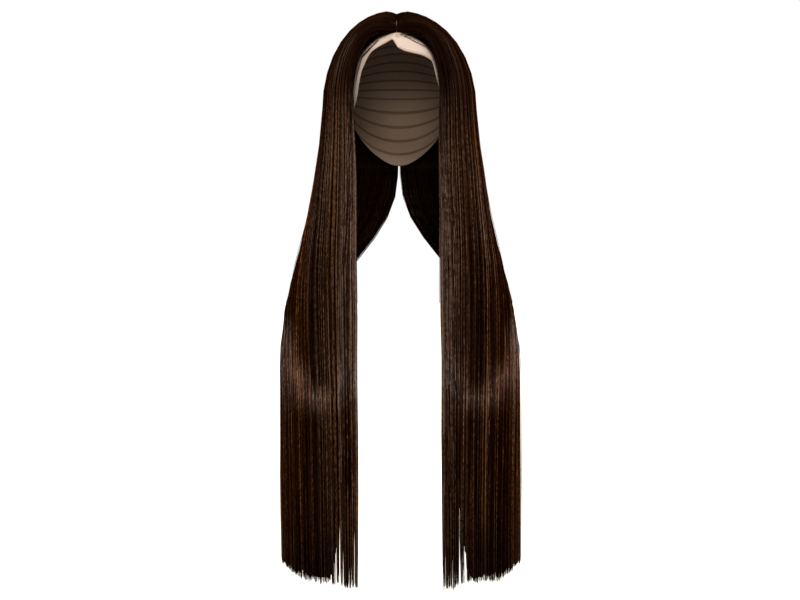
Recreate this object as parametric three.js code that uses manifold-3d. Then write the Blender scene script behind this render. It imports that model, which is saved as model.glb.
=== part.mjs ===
// Long straight lace-front wig in its worn form, in millimetres.
// +Z is up, the face looks along -Y, and the origin is the crown of the head inside the cap.
// The hair is combed from a centre part, falls past the temples and is brought forward over both shoulders.

import * as THREE from "three";
import { mergeVertices } from "three/addons/utils/BufferGeometryUtils.js";
import Module from "manifold-3d";

const wasm = await Module();
wasm.setup();

// Head hollow: an egg that is steeper above its widest ring than below it
const HEAD = { halfWidth: 74, halfLength: 96, crownRise: 95, napeFall: 150 };
const BASE_WALL = 1.2; // thickness of the lace and of the cap net
const SEAM_GAP = 0.4; // clearance where two pieces meet
const SEAT_GAP = 1.2; // clearance under the hair at its corners; its flat facets come closer between them
const LACE_BACK_Y = 18; // the lace panel ends here and the cap net starts
const BASE_ROWS = 8;
const WELD = 1e-3; // points closer than this are one
const COLUMNS_PER_RIM_ROW = 2;

// Free edge of the base: drop below the crown at each bearing from the face, positive on the viewer's right
const RIM = [
  { bearing: -180, drop: 185 }, // nape
  { bearing: -150, drop: 170 },
  { bearing: -125, drop: 140 },
  { bearing: -105, drop: 108 }, // over the ear
  { bearing: -85, drop: 108 },
  { bearing: -72, drop: 130 }, // ear tab
  { bearing: -58, drop: 128 },
  { bearing: -47, drop: 108 },
  { bearing: -41, drop: 74 },
  { bearing: -31, drop: 51 },
  { bearing: -9, drop: 38 }, // notch where the lace is turned up
  { bearing: -1, drop: 49 },
  { bearing: 18, drop: 55 },
  { bearing: 36, drop: 62 },
  { bearing: 41, drop: 88 },
  { bearing: 47, drop: 108 },
  { bearing: 58, drop: 128 },
  { bearing: 72, drop: 130 }, // ear tab
  { bearing: 85, drop: 108 },
  { bearing: 105, drop: 108 }, // over the ear
  { bearing: 125, drop: 140 },
  { bearing: 150, drop: 170 },
  { bearing: 180, drop: 185 }, // nape
];

// Soft folds of the loose lace edge: how far each stands off the head, and how wide it is
const LACE_FOLDS = [
  { bearing: -5, lift: 4.5, width: 7 },
  { bearing: 25, lift: 2, width: 9 },
  { bearing: -30, lift: 1.5, width: 8 },
];
const FOLD_REACH = 0.14; // share of the base, up from its free edge, that a fold runs through

// The centre part, along Y on top of the head, and the short whorl that carries on behind it
const PART = { frontY: -70, crownY: 25, whorlY: 42, halfGap: 0.9, dip: 3, dipWidth: 9 };
const ROOT_LIFT = { hairline: 3, crown: 12, grownAt: 0.35 }; // hair over the base beside the part
const SQUARENESS = { hairline: 0.45, crown: 1, reachedAt: 0.3 }; // below 1 the hair runs out level before it drops

// Outer face of the hair on one side, a row for each level below the crown.
// left and right are the inner edges beside the face, side is the widest point and back the rear edge.
// sideShare is the share of the hair that lies between the inner edge and the widest point.
const SECTIONS = [
  { drop: 115, leftX: 58, rightX: 50, frontY: -79, sideX: 102, sideY: 5, backX: 0.9, backY: 113, sideShare: 0.38 }, // temple
  { drop: 200, leftX: 55, rightX: 51, frontY: -84, sideX: 111, sideY: 5, backX: 0.9, backY: 103, sideShare: 0.4 }, // jaw
  { drop: 262, leftX: 54, rightX: 52, frontY: -89, sideX: 121, sideY: -4, backX: 10, backY: 96, sideShare: 0.44 }, // nape
  { drop: 326, leftX: 54, rightX: 52, frontY: -96, sideX: 135, sideY: -24, backX: 66, backY: 66, sideShare: 0.52 }, // neck
  { drop: 389, leftX: 53, rightX: 52, frontY: -107, sideX: 148, sideY: -44, backX: 118, backY: 20, sideShare: 0.62 }, // shoulder
  { drop: 455, leftX: 53, rightX: 53, frontY: -122, sideX: 153, sideY: -58, backX: 140, backY: -8, sideShare: 0.68 }, // bust
  { drop: 560, leftX: 52, rightX: 53, frontY: -124, sideX: 153, sideY: -62, backX: 146, backY: -22, sideShare: 0.72 }, // waist
  { drop: 730, leftX: 52, rightX: 53, frontY: -122, sideX: 152, sideY: -62, backX: 146, backY: -24, sideShare: 0.74 }, // hem
];
const RING_DROP = SECTIONS[0].drop;
const HEM_DROP = SECTIONS[SECTIONS.length - 1].drop;

// Locks: the front hair is knotted into the lace, the back hair is sewn to the cap
const FRONT_SHARE = 0.5; // share of one side's hair that is rooted in the lace
const SHARE_GAP = 0.0015; // half of the clearance between front and back hair, as a share
const HAIR = [
  { name: "front_hair", locks: 9, from: 0, to: FRONT_SHARE - SHARE_GAP },
  { name: "back_hair", locks: 7, from: FRONT_SHARE + SHARE_GAP, to: 1 },
];
const LOCK_PROFILE = [
  { place: 0, height: 0, split: 1 },
  { place: 0.25, height: 0.75, split: 0.35 },
  { place: 0.5, height: 1, split: 0 },
  { place: 0.75, height: 0.75, split: 0.35 },
];
const GROOVE = { head: 1, fall: 3, startsBy: 0.3, deepensFrom: 0.6, deepensTo: 1.3 }; // depth between two locks
const WALL = { edge: 4, fall: 8, tip: 2, edgeShare: 0.08, tipFrom: 1.75 }; // thickness of the falling hair
const FREE_OF_CAP = { from: 1, to: 1.14 }; // the hair leaves the cap over this stretch of its flow
const EDGE_FREE = { from: 0.3, to: 0.6, share: 0.1 }; // the inner edge leaves it sooner, in front of the temple
const SPLIT = { inner: 75, outer: 14, fadeShare: 0.35 }; // how far the tips stand apart, from the inner edge outwards
const HEM_RISE = { outer: 30, from: 0.3, to: 0.7 }; // the hem lifts towards the rear edge
const LOCK_WOBBLE = { place: 0.16, placeStep: 2.4, length: 3, lengthStep: 7.2 }; // no two locks are quite alike
const HEAD_STEPS = [0, 0.08, 0.2, 0.35, 0.51, 0.67, 0.83];
const NORMAL_STEP = 0.01;
const FALL_STEPS = [1, 1.12, 1.21, 1.28, 1.35, 1.42, 1.49, 1.57, 1.7, 1.85, 1.94, 2];

const LACE_LOOK = { color: 0xe6c9b4, roughness: 0.8, metalness: 0 };
const CAP_LOOK = { color: 0xb08d72, roughness: 0.85, metalness: 0 };
const HAIR_LOOK = { color: 0x2b180d, roughness: 0.4, metalness: 0 };

const clamp = THREE.MathUtils.clamp;
const lerp = THREE.MathUtils.lerp;
const ease = (from, to, at) => THREE.MathUtils.smoothstep(at, from, to);
const radians = THREE.MathUtils.degToRad;

// One column of a table at any key: a cubic through the rows that never overshoots and is level at both ends.
function smoothAt(rows, key, column, at) {
  const last = rows.length - 1;
  const i = clamp(rows.findIndex((row) => row[key] > at) - 1, 0, last - 1);
  const from = at >= rows[last][key] ? last - 1 : i;
  const rise = (k) => (rows[k + 1][column] - rows[k][column]) / (rows[k + 1][key] - rows[k][key]);
  const slope = (k) => {
    if (k === 0 || k === last || rise(k - 1) * rise(k) <= 0) return 0;
    return (2 * rise(k - 1) * rise(k)) / (rise(k - 1) + rise(k));
  };
  const span = rows[from + 1][key] - rows[from][key];
  const u = clamp((at - rows[from][key]) / span, 0, 1);
  const start = (1 + 2 * u) * (1 - u) ** 2 * rows[from][column] + u * (1 - u) ** 2 * span * slope(from);
  const end = u * u * (3 - 2 * u) * rows[from + 1][column] + u * u * (u - 1) * span * slope(from + 1);
  return start + end;
}

// A point on the head, moved out from it by offset: bearing 0 is the face and tilt 0 the crown, in radians.
function headPoint(bearing, tilt, offset) {
  const rise = (Math.cos(tilt) > 0 ? HEAD.crownRise : HEAD.napeFall) + offset;
  return new THREE.Vector3(
    (HEAD.halfWidth + offset) * Math.sin(tilt) * Math.sin(bearing),
    -(HEAD.halfLength + offset) * Math.sin(tilt) * Math.cos(bearing),
    rise * Math.cos(tilt) - HEAD.crownRise,
  );
}

// The tilt at which the head has dropped so far below its crown.
function tiltAtDrop(drop) {
  const below = HEAD.crownRise - drop;
  return Math.acos(below / (below > 0 ? HEAD.crownRise : HEAD.napeFall));
}

// A point pulled straight towards the head's middle until it lies on the base, one seat gap clear of it.
function onBase(point) {
  const offset = BASE_WALL + SEAT_GAP;
  const middle = new THREE.Vector3(0, 0, -HEAD.crownRise);
  const arm = point.clone().sub(middle);
  const rise = (arm.z > 0 ? HEAD.crownRise : HEAD.napeFall) + offset;
  const reach = Math.hypot(arm.x / (HEAD.halfWidth + offset), arm.y / (HEAD.halfLength + offset), arm.z / rise);
  return arm.divideScalar(reach).add(middle);
}

// A closed wall between two grids of points with equal columns and rows. A looped wall has no side edges.
function wallGeometry(outer, inner, looped) {
  const columns = outer.length;
  const rows = outer[0].length;
  const points = [...outer.flat(), ...inner.flat()];
  const out = (c, r) => c * rows + r;
  const inn = (c, r) => columns * rows + c * rows + r;
  const triangles = [];
  const addFace = (a, b, c) => {
    const flat = [[a, b], [b, c], [c, a]].some(([p, q]) => points[p].distanceTo(points[q]) < WELD);
    if (!flat) triangles.push(a, b, c);
  };
  const addQuad = (a, b, c, d) => {
    addFace(a, b, c);
    addFace(a, c, d);
  };
  for (let c = 0; c < columns - 1; c++) {
    for (let r = 0; r < rows - 1; r++) {
      addQuad(out(c, r), out(c, r + 1), out(c + 1, r + 1), out(c + 1, r));
      addQuad(inn(c, r), inn(c + 1, r), inn(c + 1, r + 1), inn(c, r + 1));
    }
    addQuad(out(c, 0), out(c + 1, 0), inn(c + 1, 0), inn(c, 0));
    addQuad(out(c, rows - 1), inn(c, rows - 1), inn(c + 1, rows - 1), out(c + 1, rows - 1));
  }
  for (let r = 0; r < rows - 1 && !looped; r++) {
    addQuad(out(0, r), inn(0, r), inn(0, r + 1), out(0, r + 1));
    addQuad(out(columns - 1, r), out(columns - 1, r + 1), inn(columns - 1, r + 1), inn(columns - 1, r));
  }
  return new THREE.BufferGeometry().setFromPoints(points).setIndex(triangles);
}

// A closed geometry as a solid that can be cut, and back. Points that coincide become one.
function toSolid(geometry) {
  const bare = geometry.clone().deleteAttribute("normal").deleteAttribute("uv");
  const welded = mergeVertices(bare, WELD);
  const vertProperties = Float32Array.from(welded.getAttribute("position").array);
  const triVerts = Uint32Array.from(welded.index.array);
  return new wasm.Manifold(new wasm.Mesh({ numProp: 3, vertProperties, triVerts }));
}

function toGeometry(solid) {
  const mesh = solid.getMesh();
  return new THREE.BufferGeometry()
    .setAttribute("position", new THREE.BufferAttribute(mesh.vertProperties, mesh.numProp))
    .setIndex(new THREE.BufferAttribute(mesh.triVerts, 1));
}

// Lace and cap together: a thin bowl over the head whose free edge follows the rim table.
function baseSolid() {
  const foldLift = (bearing, fromEdge) => {
    const near = 1 - ease(0, FOLD_REACH, fromEdge);
    const lifts = LACE_FOLDS.map((fold) => fold.lift * Math.exp(-(((bearing - fold.bearing) / fold.width) ** 2)));
    return near * lifts.reduce((sum, lift) => sum + lift, 0);
  };
  const columns = (RIM.length - 1) * COLUMNS_PER_RIM_ROW;
  const face = (offset) =>
    Array.from({ length: columns + 1 }, (_, c) => {
      const row = Math.min(Math.floor(c / COLUMNS_PER_RIM_ROW), RIM.length - 2);
      const bearing = lerp(RIM[row].bearing, RIM[row + 1].bearing, c / COLUMNS_PER_RIM_ROW - row);
      const edge = tiltAtDrop(smoothAt(RIM, "bearing", "drop", bearing));
      return Array.from({ length: BASE_ROWS + 1 }, (_, r) => {
        const down = r / BASE_ROWS;
        return headPoint(radians(bearing), edge * down, offset + foldLift(bearing, 1 - down));
      });
    });
  return toSolid(wallGeometry(face(BASE_WALL), face(0), true));
}

// The half of the base in front of the seam, or behind it.
function baseHalf(base, inFront) {
  const size = 4 * HEAD.halfLength;
  const toSeam = (size - SEAM_GAP) / 2;
  const box = new THREE.BoxGeometry(size, size, size);
  box.translate(0, LACE_BACK_Y + (inFront ? toSeam : -toSeam), 0);
  return toGeometry(base.subtract(toSolid(box)));
}

// A point on the outer face of the hair at one level; share runs from the inner edge round to the rear edge.
// It lies on the right; side only picks which inner edge is meant, 1 the right and -1 the left.
function ringPoint(share, drop, side) {
  const at = (column) => smoothAt(SECTIONS, "drop", column, drop);
  const sideShare = at("sideShare");
  const inFront = share < sideShare;
  const turn = (Math.PI / 2) * (inFront ? share / sideShare : (share - sideShare) / (1 - sideShare));
  const x = inFront
    ? lerp(at(side > 0 ? "rightX" : "leftX"), at("sideX"), Math.sin(turn))
    : lerp(at("backX"), at("sideX"), Math.cos(turn));
  const y = inFront
    ? lerp(at("sideY"), at("frontY"), Math.cos(turn))
    : lerp(at("sideY"), at("backY"), Math.sin(turn));
  return new THREE.Vector3(x, y, -drop);
}

// Where a lock leaves the part, on the outer face of the hair.
function rootPoint(share) {
  const y =
    share < FRONT_SHARE
      ? lerp(PART.frontY, PART.crownY, share / FRONT_SHARE)
      : lerp(PART.crownY, PART.whorlY, (share - FRONT_SHARE) / (1 - FRONT_SHARE));
  const baseTop = headPoint(0, Math.asin(-y / (HEAD.halfLength + BASE_WALL)), BASE_WALL).z;
  const lift = lerp(ROOT_LIFT.hairline, ROOT_LIFT.crown, ease(0, ROOT_LIFT.grownAt, share));
  return new THREE.Vector3(PART.halfGap, y, baseTop + lift);
}

// The outer face of the hair: along is 0 at the part, 1 at the temple level and 2 at the tip.
// Over the head a lock is a quarter of an ellipse from the part to the temple level.
function flowPoint(share, along, tipDrop, side) {
  if (along >= 1) return ringPoint(share, lerp(RING_DROP, tipDrop, along - 1), side);
  const root = rootPoint(share);
  const ring = ringPoint(share, RING_DROP, side);
  const turn = (Math.PI / 2) * along;
  const square = lerp(SQUARENESS.hairline, SQUARENESS.crown, ease(0, SQUARENESS.reachedAt, share));
  const out = Math.sin(turn) ** square;
  const x = lerp(root.x, ring.x, out);
  const z = lerp(ring.z, root.z, Math.cos(turn)) - PART.dip * Math.exp(-((x / PART.dipWidth) ** 2));
  return new THREE.Vector3(x, lerp(root.y, ring.y, out), z);
}

// The way out of the hair's outer face, from two short steps on it.
function flowNormal(share, along, tipDrop, side) {
  const at = (s, a) => flowPoint(clamp(s, 0, 1), clamp(a, 0, 2), tipDrop, side);
  const across = at(share + NORMAL_STEP, along).sub(at(share - NORMAL_STEP, along));
  const down = at(share, along + NORMAL_STEP).sub(at(share, along - NORMAL_STEP));
  return down.cross(across).normalize();
}

// One run of locks fused to their common backing: the backing lies on the cap, then hangs free below it.
function hairGeometry(run, side) {
  const lockEdge = (k) => {
    const inside = k > 0 && k < run.locks;
    const shift = inside ? LOCK_WOBBLE.place * Math.sin(LOCK_WOBBLE.placeStep * k + side) : 0;
    return lerp(run.from, run.to, (k + shift) / run.locks);
  };
  const columns = [];
  for (let k = 0; k <= run.locks; k++) {
    const profile = k < run.locks ? LOCK_PROFILE : LOCK_PROFILE.slice(0, 1);
    for (const { place, height, split } of profile) {
      const share = place > 0 ? lerp(lockEdge(k), lockEdge(k + 1), place) : lockEdge(k);
      const apart = lerp(SPLIT.inner, SPLIT.outer, ease(0, SPLIT.fadeShare, share));
      const hem = HEM_DROP - HEM_RISE.outer * ease(HEM_RISE.from, HEM_RISE.to, share);
      const shorter = LOCK_WOBBLE.length * (1 - Math.sin(LOCK_WOBBLE.lengthStep * k + side));
      columns.push({ share, height, tipDrop: hem - shorter * (1 - split) - apart * split });
    }
  }
  const outer = [];
  const inner = [];
  for (const { share, height, tipDrop } of columns) {
    const steps = [...HEAD_STEPS, ...FALL_STEPS];
    const faces = steps.map((along) => {
      const face = flowPoint(share, along, tipDrop, side);
      const normal = flowNormal(share, along, tipDrop, side);
      const deepened = lerp(GROOVE.head, GROOVE.fall, ease(GROOVE.deepensFrom, GROOVE.deepensTo, along));
      const groove = deepened * ease(0, GROOVE.startsBy, along);
      const taper = lerp(1, WALL.tip / WALL.fall, ease(WALL.tipFrom, 2, along));
      const thick = lerp(WALL.edge, WALL.fall, ease(0, WALL.edgeShare, share)) * taper;
      const lock = face.clone().addScaledVector(normal, (height - 1) * Math.min(groove, thick / 2));
      const free = face.clone().addScaledVector(normal, -thick);
      const edgeFree = (1 - ease(0, EDGE_FREE.share, share)) * ease(EDGE_FREE.from, EDGE_FREE.to, along);
      const loose = Math.max(ease(FREE_OF_CAP.from, FREE_OF_CAP.to, along), edgeFree);
      const backing = onBase(face).lerp(free, loose);
      return { lock, backing };
    });
    outer.push(faces.map(({ lock }) => lock));
    inner.push(faces.map(({ backing }) => backing));
  }
  const geometry = wallGeometry(outer, inner, false);
  if (side < 0) {
    geometry.scale(-1, 1, 1);
    geometry.index.array.reverse(); // mirroring turned the faces in, so each is listed the other way round
  }
  return geometry;
}

const wig = new THREE.Group();
wig.name = "wig";

function addPiece(name, geometry, look) {
  const mesh = new THREE.Mesh(geometry, new THREE.MeshStandardMaterial(look));
  mesh.name = name;
  wig.add(mesh);
}

const base = baseSolid();
addPiece("lace_front", baseHalf(base, true), LACE_LOOK);
addPiece("cap", baseHalf(base, false), CAP_LOOK);
for (const run of HAIR) {
  addPiece(`${run.name}_right`, hairGeometry(run, 1), HAIR_LOOK);
  addPiece(`${run.name}_left`, hairGeometry(run, -1), HAIR_LOOK);
}

export default wig;
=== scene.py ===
# %% [markdown]
# # A long straight lace-front wig
# A lace-front wig is a thin base that fits the head, and hair about three quarters of a metre long.
# The base is sheer lace in front and stretch net behind.
# The hair is parted in the middle, falls past the temples, and is brought forward over both shoulders.
#
# This lesson makes its looks in Blender, in the frame of the CAD part: Z up, the face towards -Y,
# the origin at the crown, inside the base.
# Every shape is worked out with numpy, in millimetres, as a maker would measure it,
# and becomes metres when its mesh is made.

import bpy
import numpy as np
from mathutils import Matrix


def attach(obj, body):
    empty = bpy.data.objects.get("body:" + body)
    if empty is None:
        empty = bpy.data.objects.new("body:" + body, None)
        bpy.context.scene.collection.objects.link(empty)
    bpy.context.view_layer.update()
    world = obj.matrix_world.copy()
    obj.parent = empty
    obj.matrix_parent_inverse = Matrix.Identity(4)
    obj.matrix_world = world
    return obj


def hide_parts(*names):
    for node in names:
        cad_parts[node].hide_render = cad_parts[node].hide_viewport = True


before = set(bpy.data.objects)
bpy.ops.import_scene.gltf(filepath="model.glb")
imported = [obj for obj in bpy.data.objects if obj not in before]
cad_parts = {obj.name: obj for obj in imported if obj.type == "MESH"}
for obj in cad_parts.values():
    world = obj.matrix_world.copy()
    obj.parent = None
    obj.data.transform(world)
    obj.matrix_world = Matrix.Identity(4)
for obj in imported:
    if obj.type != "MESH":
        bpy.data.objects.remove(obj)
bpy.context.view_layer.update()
MM = 0.001

# %% [markdown]
# ## Blends, and tables read smoothly
# The shapes here are given by a few measured rows with smooth curves through them.
# A cubic that never overshoots its rows keeps a measured width from bulging between two rows,
# which a plain spline would let it do.

# %% Blends and tables


def lerp(start, end, part):
    """start at part 0, end at part 1, and a straight line between them."""
    return start + (end - start) * part


def ease(start, end, at):
    """0 before start and 1 after end; between them 3u^2 - 2u^3, where u is the part of the way."""
    u = np.clip((at - start) / (end - start), 0, 1)
    return u * u * (3 - 2 * u)


def bell(at, middle, width):
    """1 at the middle, fading on both sides: e to the power of -((at - middle) / width)^2."""
    return np.exp(-(((at - middle) / width) ** 2))


def table(columns, rows):
    """A table as one array for each named column."""
    return dict(zip(columns.split(), np.array(rows, dtype=float).T))


def smooth_at(keys, values, at):
    """A cubic through the rows (keys, values), read at any keys.
    The slope at a row is the harmonic mean of the rises on both sides, 0 at a peak and at both ends."""
    rise = np.diff(values) / np.diff(keys)
    product = rise[:-1] * rise[1:]
    total = np.where(product > 0, rise[:-1] + rise[1:], 1)
    slope = np.concatenate([[0], np.where(product > 0, 2 * product / total, 0), [0]])
    at = np.clip(at, keys[0], keys[-1])
    row = np.clip(np.searchsorted(keys, at, side="right") - 1, 0, len(keys) - 2)
    span = keys[row + 1] - keys[row]
    u = (at - keys[row]) / span
    from_rows = values[row] * (1 + 2 * u) * (1 - u) ** 2 + values[row + 1] * u * u * (3 - 2 * u)
    from_slopes = slope[row] * u * (1 - u) ** 2 - slope[row + 1] * u * u * (1 - u)
    return from_rows + span * from_slopes


def read(rows, key, at):
    """Every column of a table, read smoothly at places in its key column."""
    return {name: smooth_at(rows[key], column, at) for name, column in rows.items()}


# %% [markdown]
# ## The way the hair falls
# All hair follows one flow.
# A hair is named by its share: 0 is the hair at the face, 1 the hair at the middle of the back.
# A place on it is named by along: 0 at the part, 1 at the level of the temples, 2 at the tip.
# From the part to the temples the flow is a quarter turn over the head.
# Below, it goes through level sections: each is two quarter ellipses, one from the inner edge at the face
# round to the side, and one from the side to the back.
# Their edges are measured off the picture, and their depths follow from how a shoulder carries hair.

# %% The flow over the head and down
HEAD = {"half_width": 74, "half_length": 96, "crown_rise": 95, "nape_fall": 150}
HEAD_MIDDLE = np.array([0.0, 0.0, -HEAD["crown_rise"]])
BASE_WALL = 1.2
ON_BASE = BASE_WALL + 0.3
PART = {"x": -3.5, "front_y": -70, "crown_y": 25, "whorl_y": 42, "dip": 2.4, "dip_width": 6}
PART_GAP = table("share half_gap", [(0, 0.2), (0.03, 0.02), (0.07, -0.3), (1, -0.5)])
ROOT_LIFT = {"hairline": 3, "crown": 12, "grown_at": 0.35}
SQUARENESS = {"hairline": 0.5, "crown": 0.93, "reached_at": 0.3}
RING_DROP = 115
HEM = table(
    "share drop",
    [(0, 728), (0.05, 725), (0.14, 723), (0.3, 720), (0.42, 717), (0.52, 708), (0.62, 701), (1, 700)],
)
SECTIONS = table(
    "drop left_x right_x front_y left_side right_side side_y back_x back_y side_share",
    [
        (115, 59, 52, -79, 102, 102, 5, 0.2, 113, 0.38),  # temple
        (200, 55, 51, -83, 112, 112.5, 5, 2, 103, 0.40),  # jaw
        (232, 54.5, 51.5, -85, 117, 117, 1, 7, 100, 0.42),  # nape
        (262, 54, 52, -88, 122, 122, -4, 20, 95, 0.44),  # hair divides
        (326, 54, 52, -98, 137, 137, -24, 66, 66, 0.52),  # neck
        (389, 53, 52, -108, 150, 150.5, -44, 118, 20, 0.62),  # shoulder
        (445, 53, 53, -118.5, 153.5, 155.5, -57, 138, -6, 0.675),  # upper chest
        (485, 52.5, 53, -129, 153, 156, -60, 142, -13, 0.695),  # chest
        (560, 51.5, 53, -133, 153, 156, -62, 146, -22, 0.72),  # waist
        (730, 51, 54, -126, 151, 156, -62, 146, -24, 0.74),  # hem
    ],
)


def on_base(points, clear):
    """Points moved towards the head's middle until they lie `clear` outside the head's ellipsoid:
    the way from the middle is divided by its own length in head radii."""
    away = points - HEAD_MIDDLE
    tall = np.where(away[..., 2] > 0, HEAD["crown_rise"], HEAD["nape_fall"]) + clear
    wide = HEAD["half_width"] + clear
    long = HEAD["half_length"] + clear
    size = np.sqrt((away[..., 0] / wide) ** 2 + (away[..., 1] / long) ** 2 + (away[..., 2] / tall) ** 2)
    return HEAD_MIDDLE + away / size[..., None]


def ring(share, drop, side):
    """The level section at `drop`: quarter ellipses from the inner edge to the side and on to the back."""
    section = read(SECTIONS, "drop", drop)
    inner_x = section["right_x"] if side > 0 else section["left_x"]
    side_x = section["right_side"] if side > 0 else section["left_side"]
    at_side = section["side_share"]
    turn = np.where(share < at_side, share / at_side, (share - at_side) / (1 - at_side)) * np.pi / 2
    front_x = lerp(inner_x, side_x, np.sin(turn))
    front_y = lerp(section["side_y"], section["front_y"], np.cos(turn))
    rear_x = lerp(section["back_x"], side_x, np.cos(turn))
    rear_y = lerp(section["side_y"], section["back_y"], np.sin(turn))
    x = np.where(share < at_side, front_x, rear_x)
    y = np.where(share < at_side, front_y, rear_y)
    return np.stack([x, y, -drop + 0 * x], axis=-1)


def root(share, side):
    """The part: a line along the top of the base, lifted by the depth of the hair, more at the crown.
    It lies a little off the middle, and closes behind the crown."""
    at_front = lerp(PART["front_y"], PART["crown_y"], share * 2)
    at_back = lerp(PART["crown_y"], PART["whorl_y"], share * 2 - 1)
    y = np.where(share < 0.5, at_front, at_back)
    bare = np.sqrt(1 - (y / (HEAD["half_length"] + BASE_WALL)) ** 2)
    top = (HEAD["crown_rise"] + BASE_WALL) * bare - HEAD["crown_rise"]
    lift = lerp(ROOT_LIFT["hairline"], ROOT_LIFT["crown"], ease(0, ROOT_LIFT["grown_at"], share))
    gap = smooth_at(PART_GAP["share"], PART_GAP["half_gap"], share)
    return np.stack([gap + PART["x"] * side, y, top + lift], axis=-1)


def flow(share, along, tip_drop, side):
    """A point on the hair's outer face, on the +X side.
    Over the head x and y go from root to ring by sin(turn)^square and z by cos(turn), less a dip at the part;
    below it is the ring at a drop that grows evenly to the tip's."""
    share, along, tip_drop = np.broadcast_arrays(share, along, tip_drop)
    drop = lerp(RING_DROP, tip_drop, np.clip(along - 1, 0, 1))
    low = ring(share, drop, side)
    high = root(share, side)
    turn = np.clip(along, 0, 1) * np.pi / 2
    square = lerp(SQUARENESS["hairline"], SQUARENESS["crown"], ease(0, SQUARENESS["reached_at"], share))
    out = np.sin(turn) ** square
    over = lerp(high, low, out[..., None])
    over[..., 2] = lerp(low[..., 2], high[..., 2], np.cos(turn))
    over[..., 2] -= PART["dip"] * bell(over[..., 0], PART["x"] * side, PART["dip_width"])
    return np.where((along < 1)[..., None], over, low)


def unit(vectors):
    """Vectors at length 1."""
    return vectors / np.linalg.norm(vectors, axis=-1, keepdims=True)


def flow_normal(share, along, tip_drop, side):
    """The way out of the outer face: the change along the hair crossed with the change from hair to hair."""
    step = 0.01
    before = flow(share, np.maximum(along - step, 0), tip_drop, side)
    ahead = flow(share, along + step, tip_drop, side) - before
    aside = flow(share + step, along, tip_drop, side) - flow(share - step, along, tip_drop, side)
    return unit(np.cross(ahead, aside))


temple = flow(np.array([0.0, 1.0]), 1.0, RING_DROP, 1)
print("hair at the temple level, at the face and at the back, mm:", temple.round(1).tolist())

# %% [markdown]
# ## Shapes from whole arrays
# Two kinds of surface make the whole wig.
# A wall is a grid of points on its outer face and the same grid on its inner face, closed round the edge.
# A hair is a three-sided tube that thins towards its tip; smooth shading makes it round.
# Blender's own hair curves would be easier to comb, but a mesh can leave Blender as a plain file.
# Thousands of tubes become one mesh, because one mesh of arrays is quick and thousands of objects are slow.
#
# A shape is kept as its points, its faces, a map on its points and named values on them.

# %% Walls and tubes
NO_TRIANGLES = np.zeros((0, 3), dtype=int)


def wall(outer, inner, places, values):
    """A closed wall from two grids (columns, rows): outer faces, inner faces turned round, and four edges.
    Columns crossed with rows point outward. Both grids get the same map and values."""
    columns, rows = outer.shape[:2]
    number = np.arange(columns * rows).reshape(columns, rows)
    corners = [number[:-1, :-1], number[1:, :-1], number[1:, 1:], number[:-1, 1:]]
    face = np.stack(corners, axis=-1).reshape(-1, 4)
    back = face[:, ::-1] + columns * rows
    edge = np.concatenate([number[:, 0], number[-1, 1:], number[-2::-1, -1], number[0, -2:0:-1]])
    following = np.roll(edge, -1)
    rim = np.stack([following, edge, edge + columns * rows, following + columns * rows], axis=-1)
    spread = {name: np.broadcast_to(value, (columns, rows)).ravel() for name, value in values.items()}
    return {
        "points": np.concatenate([outer.reshape(-1, 3), inner.reshape(-1, 3)]),
        "quads": np.concatenate([face, back, rim]),
        "triangles": NO_TRIANGLES,
        "places": np.tile(places.reshape(-1, 2), (2, 1)),
        "values": {name: np.tile(value, 2) for name, value in spread.items()},
    }


def tubes(lines, radii, outward, places, values):
    """Three-sided closed tubes round centre lines (hairs, points).
    The three corners stand round the line at radius r, at thirds of a turn from the outward direction."""
    hairs, count = lines.shape[:2]
    ahead = unit(np.gradient(lines, axis=1))
    aside = unit(np.cross(ahead, outward))
    upright = np.cross(ahead, aside)
    turn = np.arange(3) * 2 * np.pi / 3
    spokes = np.cos(turn)[:, None] * aside[:, :, None] + np.sin(turn)[:, None] * upright[:, :, None]
    points = lines[:, :, None] + radii[:, :, None, None] * spokes
    number = np.arange(hairs * count * 3).reshape(hairs, count, 3)
    beside = np.roll(number, -1, axis=2)
    corners = [number[:, :-1], beside[:, :-1], beside[:, 1:], number[:, 1:]]
    spread = {name: np.broadcast_to(value, (hairs, count)).ravel() for name, value in values.items()}
    return {
        "points": points.reshape(-1, 3),
        "quads": np.stack(corners, axis=-1).reshape(-1, 4),
        "triangles": np.concatenate([number[:, 0, ::-1], number[:, -1]]),
        "places": np.repeat(places.reshape(-1, 2), 3, axis=0),
        "values": {name: np.repeat(value, 3) for name, value in spread.items()},
    }


def join(shapes):
    """Several shapes as one: arrays end to end, with the corners of faces counted on."""
    before = np.cumsum([0] + [len(shape["points"]) for shape in shapes[:-1]])
    joined = {name: np.concatenate([shape[name] for shape in shapes]) for name in ("points", "places")}
    for name in ("quads", "triangles"):
        joined[name] = np.concatenate([shape[name] + count for shape, count in zip(shapes, before)])
    names = shapes[0]["values"]
    joined["values"] = {name: np.concatenate([shape["values"][name] for shape in shapes]) for name in names}
    return joined


def on_side(shape, side):
    """A shape made on the +X side, put on its own side: x times the side, and faces turned for -X."""
    turned = {name: shape[name][:, ::side] for name in ("quads", "triangles")}
    return {**shape, **turned, "points": shape["points"] * (side, 1, 1)}


# %% Objects from shapes


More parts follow.
